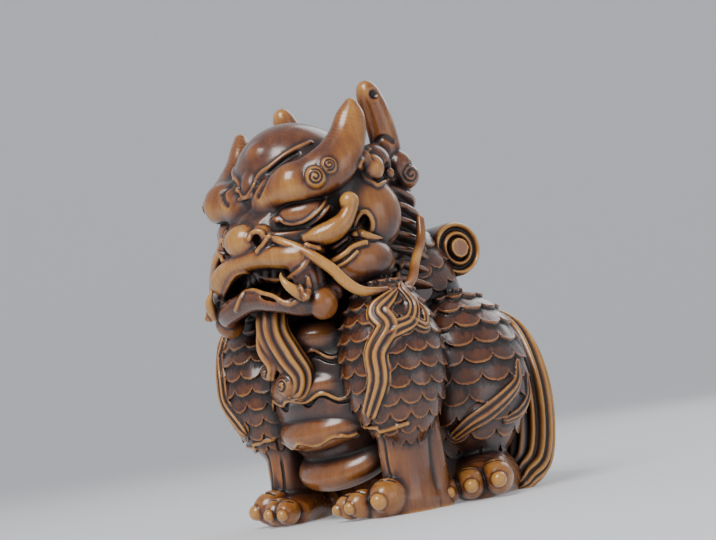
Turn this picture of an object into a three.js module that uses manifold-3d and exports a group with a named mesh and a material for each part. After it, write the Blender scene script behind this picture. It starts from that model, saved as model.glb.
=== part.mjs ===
// A qilin carved from one block of boxwood, sitting upright on its paws.
// Millimetres, +Z up. The animal faces -Y, its left side is +X, and its soles lie in the plane z = 0.
// Every form is a closed warped surface. The left half is carved first and the right half mirrors it,
// and all of them are joined into one solid, as the real figure is one piece of wood. The forms are
// placed from a point between the shoulders' feet, and the finished figure is moved by SET_BACK so that
// its origin lies under the middle of its box.
import * as THREE from 'three';
import { mergeVertices } from 'three/addons/utils/BufferGeometryUtils.js';
import Module from 'manifold-3d';

const wasm = await Module();
wasm.setup();

// Driving sizes
const LEG_X = 13;
const CHEST = { center: [0, -15, 22.5], radii: [12, 9, 15] };
const SHOULDER = { center: [14.6, -15.4, 24.2], radii: [7.8, 8.2, 13.2] };
const HAUNCH = { center: [12.2, 4, 20.2], radii: [9, 10.8, 14] };
const RUMP = { center: [0, 11.5, 9], radii: [10, 8.5, 10.5] };
const SKULL = { center: [0, -14, 51], radii: [14, 14, 13] };
const SCALE_RISE = 0.9;
const SCROLL = { near: [11.5, 8.1, 42], far: [-11, 14, 42], radius: 4.7 };
const FLOOR = 0;
const SET_BACK = 5.83;
const WOOD = { color: 0x7a4420, roughness: 0.34, metalness: 0 };

// Kit

function solidOf(geometry) {
  const vertProperties = new Float32Array(geometry.attributes.position.array);
  const triVerts = new Uint32Array(geometry.index.array);
  return new wasm.Manifold(new wasm.Mesh({ numProp: 3, vertProperties, triVerts }));
}

function bare(geometry) {
  geometry.deleteAttribute('normal');
  geometry.deleteAttribute('uv');
  return mergeVertices(geometry, 1e-5);
}

function warped(geometry, place) {
  const points = geometry.attributes.position;
  const point = new THREE.Vector3();
  for (let i = 0; i < points.count; i += 1) {
    point.fromBufferAttribute(points, i);
    place(point);
    points.setXYZ(i, point.x, point.y, point.z);
  }
  return geometry;
}

function turnOf(degrees) {
  const [x, y, z] = degrees.map(THREE.MathUtils.degToRad);
  return new THREE.Matrix4().makeRotationFromEuler(new THREE.Euler(x, y, z, 'ZYX'));
}

// An ellipsoid with its poles on its own z axis
function ball(center, radii, { turn = [0, 0, 0], columns = 12, rows = 8 } = {}) {
  const matrix = turnOf(turn).setPosition(...center);
  const shape = bare(new THREE.SphereGeometry(1, columns, rows).rotateX(Math.PI / 2));
  return solidOf(warped(shape, (p) => p.multiply(new THREE.Vector3(...radii)).applyMatrix4(matrix)));
}

// A lock, limb or band: a ring of points carried along a smooth curve through the stations
// [x, y, z, half width, half depth]. The width lies along the direction given by across.
function strand(stations, { sides = 8, steps = 0, across = [1, 0, 0], flutes = 0, depth = 0.12, tip = 0.4 } = {}) {
  const path = new THREE.CatmullRomCurve3(stations.map((s) => new THREE.Vector3(s[0], s[1], s[2])));
  const girth = new THREE.CatmullRomCurve3(stations.map((s) => new THREE.Vector3(s[3], s[4] ?? s[3], 0)));
  path.curveType = 'catmullrom';
  girth.curveType = 'catmullrom';
  const rings = steps || Math.round((stations.length - 1) * 1.4);
  const shape = bare(new THREE.CylinderGeometry(1, 1, 1, sides, rings));
  const wide = new THREE.Vector3();
  const deep = new THREE.Vector3();
  return solidOf(warped(shape, (p) => {
    const t = THREE.MathUtils.clamp(0.5 - p.y, 0, 1);
    const onAxis = Math.hypot(p.x, p.z) < 0.5;
    const size = girth.getPoint(t);
    const tangent = path.getTangent(t);
    wide.set(...across).addScaledVector(tangent, -tangent.dot(wide.set(...across))).normalize();
    deep.crossVectors(tangent, wide);
    const flute = 1 + (flutes ? depth * Math.cos(flutes * Math.atan2(p.z, p.x)) : 0);
    const { x, z } = p;
    p.copy(path.getPoint(t));
    if (onAxis) {
      p.addScaledVector(tangent, (t < 0.5 ? -1 : 1) * tip * size.y);
    } else {
      p.addScaledVector(wide, x * size.x * flute).addScaledVector(deep, z * size.y * flute);
    }
  }));
}

// An ellipsoid whose skin is cut into rows of scales. Each scale rises from under the row above it to a
// free, rounded lower edge, which stands proud by rise times cover(longitude) and drops straight down.
// The columns stand closer together on the outer side, at longitude 0, than on the side in the body.
function scaledBall(form, { turn = [0, 0, 0], around, down, rise = SCALE_RISE, cover = () => 1 }) {
  const columns = around * 2;
  const rows = down * 2 + 2;
  const matrix = turnOf(turn).setPosition(...form.center);
  const pitch = Math.PI / (down + 1);
  const shape = bare(new THREE.SphereGeometry(1, columns, rows).rotateX(Math.PI / 2));
  const meanRadius = (form.radii[0] + form.radii[1] + form.radii[2]) / 3;
  return solidOf(warped(shape, (p) => {
    const ring = Math.round(Math.acos(THREE.MathUtils.clamp(p.z, -1, 1)) / Math.PI * rows);
    const even = Math.atan2(p.y, p.x);
    const longitude = even - 0.4 * Math.sin(even);
    if (ring > 0 && ring < rows) {
      const row = Math.ceil(ring / 2);
      const raised = ring % 2 === 1;
      const column = Math.round((even / (2 * Math.PI)) * columns);
      const middle = Math.abs(column + row) % 2 === 0;
      const latitude = pitch * (row + (middle ? 0.3 : -0.22) + (raised ? 0 : 0.09));
      const lift = raised ? (rise * cover(longitude) * (middle ? 1 : 0.35)) / meanRadius : 0;
      const r = 1 + lift;
      p.set(r * Math.sin(latitude) * Math.cos(longitude), r * Math.sin(latitude) * Math.sin(longitude),
        r * Math.cos(latitude));
    }
    p.multiply(new THREE.Vector3(...form.radii)).applyMatrix4(matrix);
  }));
}

// A point on the skin of an ellipsoid, lifted outwards. Longitude 0 is +X and 90 is the back (+Y).
function onSkin(form, longitude, latitude, lift = 0) {
  const [lon, lat] = [longitude, latitude].map(THREE.MathUtils.degToRad);
  const way = [Math.cos(lat) * Math.cos(lon), Math.cos(lat) * Math.sin(lon), Math.sin(lat)];
  return way.map((w, i) => form.center[i] + w * (form.radii[i] + lift));
}

// A small flat spiral curl: a disc with a raised rim and a knob, facing along out
function curl(center, out, radius, thickness) {
  const profile = [[0, -1], [1, -1], [0.9, 0.7], [0.5, 0.3], [0, 1.1]];
  const points = profile.map(([r, h]) => new THREE.Vector2(r * radius, h * thickness));
  const matrix = new THREE.Matrix4().lookAt(new THREE.Vector3(), new THREE.Vector3(...out).negate(),
    new THREE.Vector3(0, 0, 1)).setPosition(...center);
  const shape = bare(new THREE.LatheGeometry(points, 6).rotateX(Math.PI / 2));
  return solidOf(warped(shape, (p) => p.applyMatrix4(matrix)));
}

function mirrored(solid) {
  return solid.mirror([1, 0, 0]);
}

function joined(solids) {
  let pile = solids;
  while (pile.length > 1) {
    const next = [];
    for (let i = 0; i < pile.length; i += 2) {
      next.push(i + 1 < pile.length ? pile[i].add(pile[i + 1]) : pile[i]);
    }
    pile = next;
  }
  return pile[0];
}

// Body

function trunk() {
  const spine = [[0, -6.5, 53, 9.5, 9.5], [0, -5, 46, 11.2, 11], [0, -2.5, 38, 12, 11.5], [0, 1, 30, 12.5, 12],
    [0, 8, 23.5, 12.5, 11.5], [0, 15, 19.5, 11.5, 11.5], [0, 20.5, 14, 7, 7]];
  return [strand(spine, { sides: 12, steps: 7 }),
    ball(CHEST.center, CHEST.radii, { columns: 10, rows: 8 }),
    ...bellyPlates(),
    ball(RUMP.center, RUMP.radii, { columns: 10, rows: 6 })];
}

// Broad plates that overlap down the chest and under the belly
function bellyPlates() {
  return [30, 23.5, 17, 11.5].map((z, i) => ball([0, -16.4 + 0.5 * i * i, z], [8.6, 8.4, 4.2],
    { turn: [8 * i, 0, 0], columns: 8, rows: 4 }));
}

function shoulder() {
  return scaledBall(SHOULDER, { around: 7, down: 7, cover: (lon) => (Math.abs(lon) < 2.2 ? 1 : 0.2) });
}

function haunch() {
  return scaledBall(HAUNCH, { around: 6, down: 6, rise: 1 });
}

// Ribbons of flame that run over the scales
function flames() {
  const on = (form, lon, lat, w, d) => [...onSkin(form, lon, lat, 0.5), w, d];
  const front = [on(SHOULDER, -25, 50, 1, 0.9), on(SHOULDER, -55, 30, 1.6, 1), on(SHOULDER, -60, 2, 1.8, 1),
    on(SHOULDER, -85, -28, 1.2, 0.9)];
  const rear = [on(HAUNCH, -62, -36, 1.1, 0.9), on(HAUNCH, -30, -24, 1.5, 1), on(HAUNCH, 4, -14, 1.3, 0.9),
    on(HAUNCH, 16, 6, 0.6, 0.7)];
  return [front, rear].map((path) => strand(path, { sides: 4, steps: path.length, across: [0, 0.4, 1] }));
}

function paw(toes, heel) {
  const parts = [strand(heel, { sides: 7, steps: 2 })];
  for (const { at, size, yaw } of toes) {
    parts.push(ball(at, [size * 0.9, size * 1.3, size], { turn: [0, 0, yaw], columns: 6, rows: 4 }));
  }
  return parts;
}

function foreleg() {
  const shaft = [[LEG_X + 0.6, -13.5, 20, 4.6, 5.6], [LEG_X + 0.5, -14.2, 12, 3.5, 5],
    [LEG_X + 0.5, -14.4, 6, 3.2, 4.8], [LEG_X + 0.5, -14.2, -1, 3.6, 5]];
  const fringe = [[LEG_X + 2.2, -10.6, 16, 2, 2.2], [LEG_X + 2, -10.2, 8, 1.8, 2.4], [LEG_X + 1.6, -10, -1, 2.2, 2.6]];
  const toes = [{ at: [LEG_X - 5.4, -22.2, 2.3], size: 2.1, yaw: -24 },
    { at: [LEG_X - 3, -21.9, 2.3], size: 2.2, yaw: -8 }, { at: [LEG_X + 0.6, -19.6, 3], size: 3, yaw: 16 }];
  const heel = [[LEG_X + 0.8, -10, 1.4, 3, 2.2], [LEG_X - 0.4, -15, 2, 4.2, 3], [LEG_X - 2.4, -19.5, 1.6, 4.2, 2.4]];
  return [strand(shaft, { sides: 8, steps: 3 }), strand(fringe, { sides: 5, steps: 2 }), ...paw(toes, heel)];
}

function hindleg() {
  const toes = [{ at: [14.8, -7.2, 2.2], size: 2.1, yaw: 45 }, { at: [17.2, -4.4, 2.8], size: 2.5, yaw: 45 },
    { at: [19.8, -0.6, 3.2], size: 2.8, yaw: 45 }];
  const heel = [[10.5, 10, 2.2, 4.6, 3.4], [13.3, 4, 3.6, 5, 4.6], [16.4, -1.6, 2.6, 4.6, 3.2]];
  return paw(toes, heel);
}

function tail() {
  const lock = [[2, 20, 29, 4, 2.6], [8, 20.4, 25.5, 4, 2.8], [11.5, 19.2, 19, 4, 2.8], [13, 17.8, 12, 4, 2.8],
    [13.6, 15.2, 5, 3.8, 2.6], [13.4, 11, 1.6, 3, 2]];
  return [strand(lock, { sides: 12, steps: 6, flutes: 6, across: [1, 0.9, 0] })];
}

function scroll() {
  const profile = [[0, -1.2], [0.34, -1.2], [0.36, 0.3], [0.7, 0.3], [0.78, -0.4], [0.94, -0.4], [1, 0.3]];
  const near = new THREE.Vector3(...SCROLL.near);
  const far = new THREE.Vector3(...SCROLL.far);
  const length = near.distanceTo(far);
  const side = profile.map(([r, h]) => new THREE.Vector2(r * SCROLL.radius, h - length / 2));
  const other = profile.map(([r, h]) => new THREE.Vector2(r * SCROLL.radius, length / 2 - h)).reverse();
  const shape = bare(new THREE.LatheGeometry([...side, ...other], 11));
  const matrix = new THREE.Matrix4().makeRotationFromQuaternion(new THREE.Quaternion().setFromUnitVectors(
    new THREE.Vector3(0, 1, 0), near.clone().sub(far).normalize()));
  matrix.setPosition(near.clone().add(far).multiplyScalar(0.5));
  return [solidOf(warped(shape, (p) => p.applyMatrix4(matrix)))];
}

// Head

function skull() {
  return [ball(SKULL.center, SKULL.radii, { columns: 12, rows: 8 }),
    ball([0, -17.5, 57], [9, 9.2, 8.8], { columns: 9, rows: 6 }),
    ball([0, -26.4, 55.5], [2.4, 2.8, 4.2], { columns: 6, rows: 4 }),
    ball([0, -26, 45.6], [10.6, 10, 6], { columns: 10, rows: 6 }),
    ball([0, -29.8, 47.2], [4.2, 4, 3.4], { columns: 6, rows: 5 }),
    ball([0, -21.5, 38], [9, 8.5, 4.4], { columns: 8, rows: 5 })];
}

function face() {
  const brow = [[3.4, -29.6, 50.8, 1.8, 1.8], [8, -28, 53.4, 3.2, 2.4], [11.8, -24.2, 56.2, 3.9, 2.8],
    [13.6, -19.8, 60, 3.6, 2.8], [14.2, -17.4, 63.4, 2.3, 2.1], [14.4, -17, 65.6, 1.3, 1.4]];
  const upperLip = [[11.5, -22, 41.8, 1.8, 1.6], [9.6, -28.2, 43.4, 2.5, 2], [5.5, -32.6, 43.9, 2.9, 2.2],
    [0, -34.6, 43.8, 3, 2.4], [-1.5, -34.5, 43.8, 3, 2.4]];
  const lowerLip = [[10.4, -23.5, 39, 1.3, 1.5], [8, -28.8, 38.2, 1.6, 1.7], [4, -31, 39.2, 2, 1.7],
    [0, -31.6, 39.8, 2, 1.7], [-1.5, -31.5, 39.8, 2, 1.7]];
  const fang = [[7.8, -28.2, 37.2, 1, 1], [8.4, -30, 38.6, 0.9, 0.9], [8.8, -31.4, 40.4, 0.3, 0.3]];
  const whisker = [[4.6, -31.4, 47, 0.8, 0.9], [9.8, -30.6, 45.3, 1, 1], [12.4, -28.2, 42.6, 1.1, 1.1],
    [14.4, -23.6, 37.4, 1.1, 1.1], [15.8, -21.2, 36, 1.1, 1.1], [17.8, -15, 35.6, 1, 1], [18.2, -12.2, 36.8, 1, 1],
    [17.4, -9.6, 39.6, 0.5, 0.5]];
  const cheek = [[9.5, -27, 43.2, 1.4, 1.6], [13.2, -24, 44.8, 2.8, 2.2], [15.2, -21.8, 47.6, 2.8, 2.2],
    [16.2, -20, 50.4, 1.4, 1.4], [16, -20.4, 51.8, 0.6, 0.8]];
  return [strand(brow, { sides: 6, steps: 6, across: [0, 0.5, 1] }),
    strand(upperLip, { sides: 6, steps: 5, across: [0, 0, 1] }),
    strand(lowerLip, { sides: 5, steps: 5, across: [0, 0, 1] }),
    strand(fang, { sides: 4 }),
    strand(whisker, { sides: 4, steps: 7 }),
    strand(cheek, { sides: 6, steps: 5, across: [0, -0.5, 1] }),
    ball([4.2, -30.2, 46.2], [2.4, 2.4, 2.4], { columns: 6, rows: 5 }),
    ball([9.4, -26.8, 54], [3.2, 3.2, 4.2], { columns: 6, rows: 5 }),
    ball([9.8, -24.8, 49.8], [5, 3.2, 3], { turn: [0, 0, 40], columns: 6, rows: 4 }),
    ball([11.6, -11.6, 49], [4.4, 5.2, 5], { columns: 6, rows: 5 }),
    ball([11, -15, 42.2], [5, 6.2, 4.6], { columns: 6, rows: 5 }),
    ball([7.4, -24.4, 36.4], [3.4, 3.8, 3.2], { columns: 6, rows: 5 }),
    ball([13.4, -13.8, 56], [2.4, 2.8, 3], { columns: 6, rows: 4 })];
}

function crown() {
  const horn = [[8.6, -4, 57, 3, 3], [9, -4, 62, 2.7, 2.7], [9, -4.4, 66.5, 2.4, 2.4], [9, -4.8, 70.2, 1.8, 1.8]];
  return [strand(horn, { sides: 7, tip: 0.6 }),
    ball([10.4, -1.6, 57.5], [2.2, 2.2, 2.6], { columns: 6, rows: 4 })];
}

// Plates that step down the nape, each the proud rim of a tilted disc through the neck
function nape() {
  const plates = [];
  const count = 4;
  for (let i = 0; i < count; i += 1) {
    const t = i / (count - 1);
    const center = [0, -6.6 + 3.2 * t, 57 - 18 * t];
    plates.push(ball(center, [11.4 + t, 10.4 + 1.6 * t, 1.9], { turn: [-16, 0, 0], columns: 8, rows: 4 }));
  }
  return plates;
}

function beard() {
  const lock = [[0, -25.5, 36, 2.4, 1.8], [0.2, -26.6, 32, 2.8, 2], [1.4, -25.4, 28, 2.9, 2.1],
    [2.6, -24.4, 24.6, 2.8, 2.1], [1.6, -24.6, 21.6, 2, 1.8]];
  return [strand(lock, { sides: 10, steps: 5, flutes: 5 }),
    curl([-0.6, -26, 23.2], [0.2, -1, 0], 2.2, 2)];
}

const left = [shoulder(), haunch(), ...flames(), ...foreleg(), ...hindleg(), ...face(), ...crown()];
const single = [...trunk(), ...tail(), ...scroll(), ...skull(), ...nape(), ...beard()];
const block = joined([...single, ...left, ...left.map(mirrored)]);

// The soles are rubbed down to one plane, so that the figure stands by itself
const underside = solidOf(bare(new THREE.BoxGeometry(120, 120, 20).translate(0, 0, FLOOR - 10)));
const carved = block.subtract(underside);

function meshOf(solid, name) {
  const { vertProperties, triVerts } = solid.getMesh();
  const geometry = new THREE.BufferGeometry();
  geometry.setAttribute('position', new THREE.BufferAttribute(new Float32Array(vertProperties), 3));
  geometry.setIndex(new THREE.BufferAttribute(new Uint32Array(triVerts), 1));
  geometry.computeVertexNormals();
  const mesh = new THREE.Mesh(geometry, new THREE.MeshStandardMaterial(WOOD));
  mesh.name = name;
  return mesh;
}

const figure = meshOf(carved, 'qilin');
figure.position.set(0, SET_BACK, 0);

const qilin = new THREE.Group();
qilin.add(figure);

export default qilin;
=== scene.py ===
"""A boxwood qilin carved from one block, dressed over its coarse solid.

The figure is carved as distance fields. A form (a ball, or a lock swept along a curve) is a formula that gives
the distance to its surface over a whole grid of points at once. Forms are joined with a rounded crease, cut out
of each other and cut with scales, and the surface where the distance is nought becomes the piece's mesh.
Lengths in the carving are millimetres, measured from a point between the forefeet: +X is the animal's left,
-Y the way it faces, +Z up. A finished mesh is moved back by SET_BACK and scaled to metres.
"""

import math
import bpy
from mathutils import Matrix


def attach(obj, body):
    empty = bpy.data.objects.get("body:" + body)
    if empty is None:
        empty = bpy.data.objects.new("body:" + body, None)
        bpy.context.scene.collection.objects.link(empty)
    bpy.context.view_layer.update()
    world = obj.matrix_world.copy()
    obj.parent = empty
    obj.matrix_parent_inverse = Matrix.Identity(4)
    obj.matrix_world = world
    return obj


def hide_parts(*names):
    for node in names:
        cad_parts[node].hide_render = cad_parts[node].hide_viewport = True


bl_info = {
    "name": "Carved Qilin",
    "version": (1, 0, 0),
    "blender": (4, 5, 0),
    "location": "3D View > Sidebar > Qilin",
    "description": "Carves a small boxwood qilin, waxes it and sets it on a pale floor",
    "category": "Add Mesh",
}

from concurrent.futures import ThreadPoolExecutor

import bpy
import numpy as np
from mathutils import Matrix, Vector

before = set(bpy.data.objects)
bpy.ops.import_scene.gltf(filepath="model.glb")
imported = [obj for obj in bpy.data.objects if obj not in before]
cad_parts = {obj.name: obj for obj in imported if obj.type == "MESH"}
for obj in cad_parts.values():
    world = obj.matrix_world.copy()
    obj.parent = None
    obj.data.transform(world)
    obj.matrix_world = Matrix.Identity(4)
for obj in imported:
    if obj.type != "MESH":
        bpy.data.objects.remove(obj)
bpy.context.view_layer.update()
MM = 0.001
SET_BACK = 5.83

# Sizes shared with the coarse solid, in millimetres
LEG_X = 13.0
CHEST = ((0, -15, 22.5), (12, 9, 15))
RUMP = ((0, 11.5, 9), (10, 8.5, 10.5))
SHOULDER = ((14.6, -15.4, 24.2), (7.8, 8.2, 13.2))
HAUNCH = ((12.2, 4, 20.2), (9, 10.8, 14))
SKULL = ((0, -14, 51), (14, 14, 13))
SCROLL_NEAR = (11.5, 8.1, 42)
SCROLL_FAR = (-11, 14, 42)
SCROLL_RADIUS = 4.7

# The view of the photograph
VIEW_TURN = 45.0
VIEW_RISE = -4.5
VIEW_ROLL = 8.5
VIEW_DISTANCE = 300.0
VIEW_TARGET = (-2.7, -2.7, 41.0)
PIXELS_PER_MM = 5.8
FRAME_WIDTH = 716
FRAME_HEIGHT = 540


# Distance fields

def rounded_min(a, b, round_off):
    """The smaller of two distances, with the crease between them filled to a radius of about round_off."""
    if round_off <= 0:
        return np.minimum(a, b)
    near = np.maximum(round_off - np.abs(a - b), 0) / round_off
    return np.minimum(a, b) - near * near * (round_off / 4)


def turned(degrees):
    """Rotation matrix: first about x, then y, then z."""
    x, y, z = np.radians(degrees)
    rx = np.array([[1, 0, 0], [0, math.cos(x), -math.sin(x)], [0, math.sin(x), math.cos(x)]])
    ry = np.array([[math.cos(y), 0, math.sin(y)], [0, 1, 0], [-math.sin(y), 0, math.cos(y)]])
    rz = np.array([[math.cos(z), -math.sin(z), 0], [math.sin(z), math.cos(z), 0], [0, 0, 1]])
    return rz @ ry @ rx


def view_axes():
    """Right, up and back of the photograph's view, turned and raised, then rolled."""
    a, e, r = (math.radians(v) for v in (VIEW_TURN, VIEW_RISE, VIEW_ROLL))
    back = np.array([math.sin(a) * math.cos(e), -math.cos(a) * math.cos(e), math.sin(e)])
    right = np.array([math.cos(a), math.sin(a), 0])
    up = np.cross(back, right)
    return right * math.cos(r) - up * math.sin(r), right * math.sin(r) + up * math.cos(r), back


class Ball:
    """An ellipsoid. With q the point in its own axes divided by the radii, and r the same divided once more, the
    distance is |q| (|q| - 1) / |r|. relief, if given, is a function of longitude and latitude (radians) and lifts
    the surface by that many millimetres."""

    def __init__(self, center, radii, turn=(0, 0, 0), relief=None, rise=0.0):
        self.center = np.array(center, float)
        self.radii = np.array(radii, float)
        self.axes = turned(turn)
        self.relief = relief
        reach = np.sqrt(((self.axes * self.radii) ** 2).sum(1)) + rise
        self.low, self.high = self.center - reach, self.center + reach

    def distance(self, xs, ys, zs, margin):
        dx = (xs - self.center[0]).astype(np.float32)[:, None, None]
        dy = (ys - self.center[1]).astype(np.float32)[None, :, None]
        dz = (zs - self.center[2]).astype(np.float32)[None, None, :]
        whole = 0
        steep = 0
        local = []
        for k in range(3):
            ax, ay, az = self.axes[:, k] / self.radii[k]
            q = dx * np.float32(ax) + dy * np.float32(ay) + dz * np.float32(az)
            local.append(q)
            whole = whole + q * q
            steep = steep + (q / np.float32(self.radii[k])) ** 2
        whole = np.sqrt(whole)
        distance = whole * (whole - 1) / np.maximum(np.sqrt(steep), 1e-4)
        if self.relief is None:
            return distance
        skin = np.abs(distance) < 2.5
        q0, q1, q2 = (q[skin] for q in local)
        lift = self.relief(np.arctan2(q1, q0), np.arcsin(np.clip(q2 / np.maximum(whole[skin], 1e-4), -1, 1)))
        distance[skin] -= lift
        return distance

    def skin(self, longitude, latitude, lift=0.0):
        """A point on the surface. Longitude 0 is +X and 90 is +Y, in degrees."""
        lon, lat = math.radians(longitude), math.radians(latitude)
        way = np.array([math.cos(lat) * math.cos(lon), math.cos(lat) * math.sin(lon), math.sin(lat)])
        return self.center + self.axes @ (way * (self.radii + lift))

    def outward(self, points):
        """Surface normals at points on the surface."""
        local = (points - self.center) @ self.axes / self.radii ** 2
        normal = local @ self.axes.T
        return normal / np.linalg.norm(normal, axis=1, keepdims=True)


def catmull_rom(stations, steps):
    """Even Catmull-Rom curve through the stations, whose ends go on in a straight line."""
    p = np.array(stations, float)
    p = np.vstack([2 * p[0] - p[1], p, 2 * p[-1] - p[-2]])
    t = np.linspace(0, len(stations) - 1, steps * (len(stations) - 1) + 1)
    i = np.minimum(t.astype(int), len(stations) - 2)
    f = (t - i)[:, None]
    a, b, c, d = p[i], p[i + 1], p[i + 2], p[i + 3]
    return 0.5 * (2 * b + (c - a) * f + (2 * a - 5 * b + 4 * c - d) * f ** 2 + (3 * b - a - 3 * c + d) * f ** 3)


class Lock:
    """An oval section carried along a smooth curve through stations [x, y, z, half width, half depth]. The curve is
    cut into short lengths. How far a point lies between the two planes square to the curve at a length's ends
    says where it belongs on it, and its offsets across and along the depth there, divided by the two halves, give
    the distance as for a ball. across is the direction of the width. With out, the direction of the depth at every
    station, the section turns with the surface it lies on. flutes is a number of grooves round the section, and
    depth how deep they are, as a share of its half depth."""

    def __init__(self, stations, across=(1, 0, 0), out=None, flutes=0, depth=0.0, steps=5):
        rows = [list(s) + [s[3]] if len(s) == 4 else list(s) for s in stations]
        path = catmull_rom(rows, steps)
        self.point = path[:, :3]
        self.half = np.maximum(path[:, 3:5], 0.05)
        tangent = np.gradient(self.point, axis=0)
        tangent /= np.maximum(np.linalg.norm(tangent, axis=1, keepdims=True), 1e-6)
        if out is None:
            wide = np.array(across, float) - tangent * (tangent @ np.array(across, float))[:, None]
        else:
            wide = np.cross(catmull_rom(out, steps), tangent)
        self.wide = wide / np.maximum(np.linalg.norm(wide, axis=1, keepdims=True), 1e-6)
        self.deep = np.cross(tangent, self.wide)
        self.tangent = tangent
        self.flutes, self.depth = flutes, depth
        reach = self.half.max(1)[:, None] * (1 + depth)
        self.low, self.high = (self.point - reach).min(0), (self.point + reach).max(0)

    def distance(self, xs, ys, zs, margin):
        out = np.full((len(xs), len(ys), len(zs)), 9, np.float32)
        for i in range(len(self.point) - 1):
            a, b = self.point[i], self.point[i + 1]
            reach = self.half[i:i + 2].max() + margin
            part = []
            for k, line in enumerate((xs, ys, zs)):
                part.append(slice(*np.searchsorted(line, (min(a[k], b[k]) - reach, max(a[k], b[k]) + reach))))
            if all(s.start < s.stop for s in part):
                part = tuple(part)
                length = self._length(i, xs[part[0]], ys[part[1]], zs[part[2]])
                out[part] = np.minimum(out[part], length)
        return out

    def _length(self, i, xs, ys, zs):
        a, b = self.point[i], self.point[i + 1]
        way = b - a
        dx = (xs - a[0]).astype(np.float32)[:, None, None]
        dy = (ys - a[1]).astype(np.float32)[None, :, None]
        dz = (zs - a[2]).astype(np.float32)[None, None, :]

        def along(v):
            return dx * np.float32(v[0]) + dy * np.float32(v[1]) + dz * np.float32(v[2])

        back, front = along(self.tangent[i]), np.float32(way @ self.tangent[i + 1]) - along(self.tangent[i + 1])
        s = np.clip(back / np.maximum(back + front, 1e-3), 0, 1)
        over = np.minimum(back, 0) + np.minimum(front, 0)
        middle_w, turn_w = (self.wide[i] + self.wide[i + 1]) / 2, self.wide[i + 1] - self.wide[i]
        middle_d, turn_d = (self.deep[i] + self.deep[i + 1]) / 2, self.deep[i + 1] - self.deep[i]
        f = s - np.float32(0.5)
        x = along(middle_w) + f * along(turn_w) - s * (np.float32(way @ middle_w) + f * np.float32(way @ turn_w))
        z = along(middle_d) + f * along(turn_d) - s * (np.float32(way @ middle_d) + f * np.float32(way @ turn_d))
        hw = self.half[i, 0] + s * np.float32(self.half[i + 1, 0] - self.half[i, 0])
        hd = self.half[i, 1] + s * np.float32(self.half[i + 1, 1] - self.half[i, 1])
        small = np.minimum(hw, hd)
        qx, qz, qy = x / hw, z / hd, over / small
        whole = np.sqrt(qx * qx + qy * qy + qz * qz)
        steep = np.sqrt((qx / hw) ** 2 + (qz / hd) ** 2 + (qy / small) ** 2)
        distance = whole * (whole - 1) / np.maximum(steep, 1e-4)
        if self.flutes:
            angle = np.arctan2(qz, qx)
            distance = distance - (self.depth * hd) * np.minimum(whole, 1) * np.cos(self.flutes * angle)
        return distance


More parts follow.
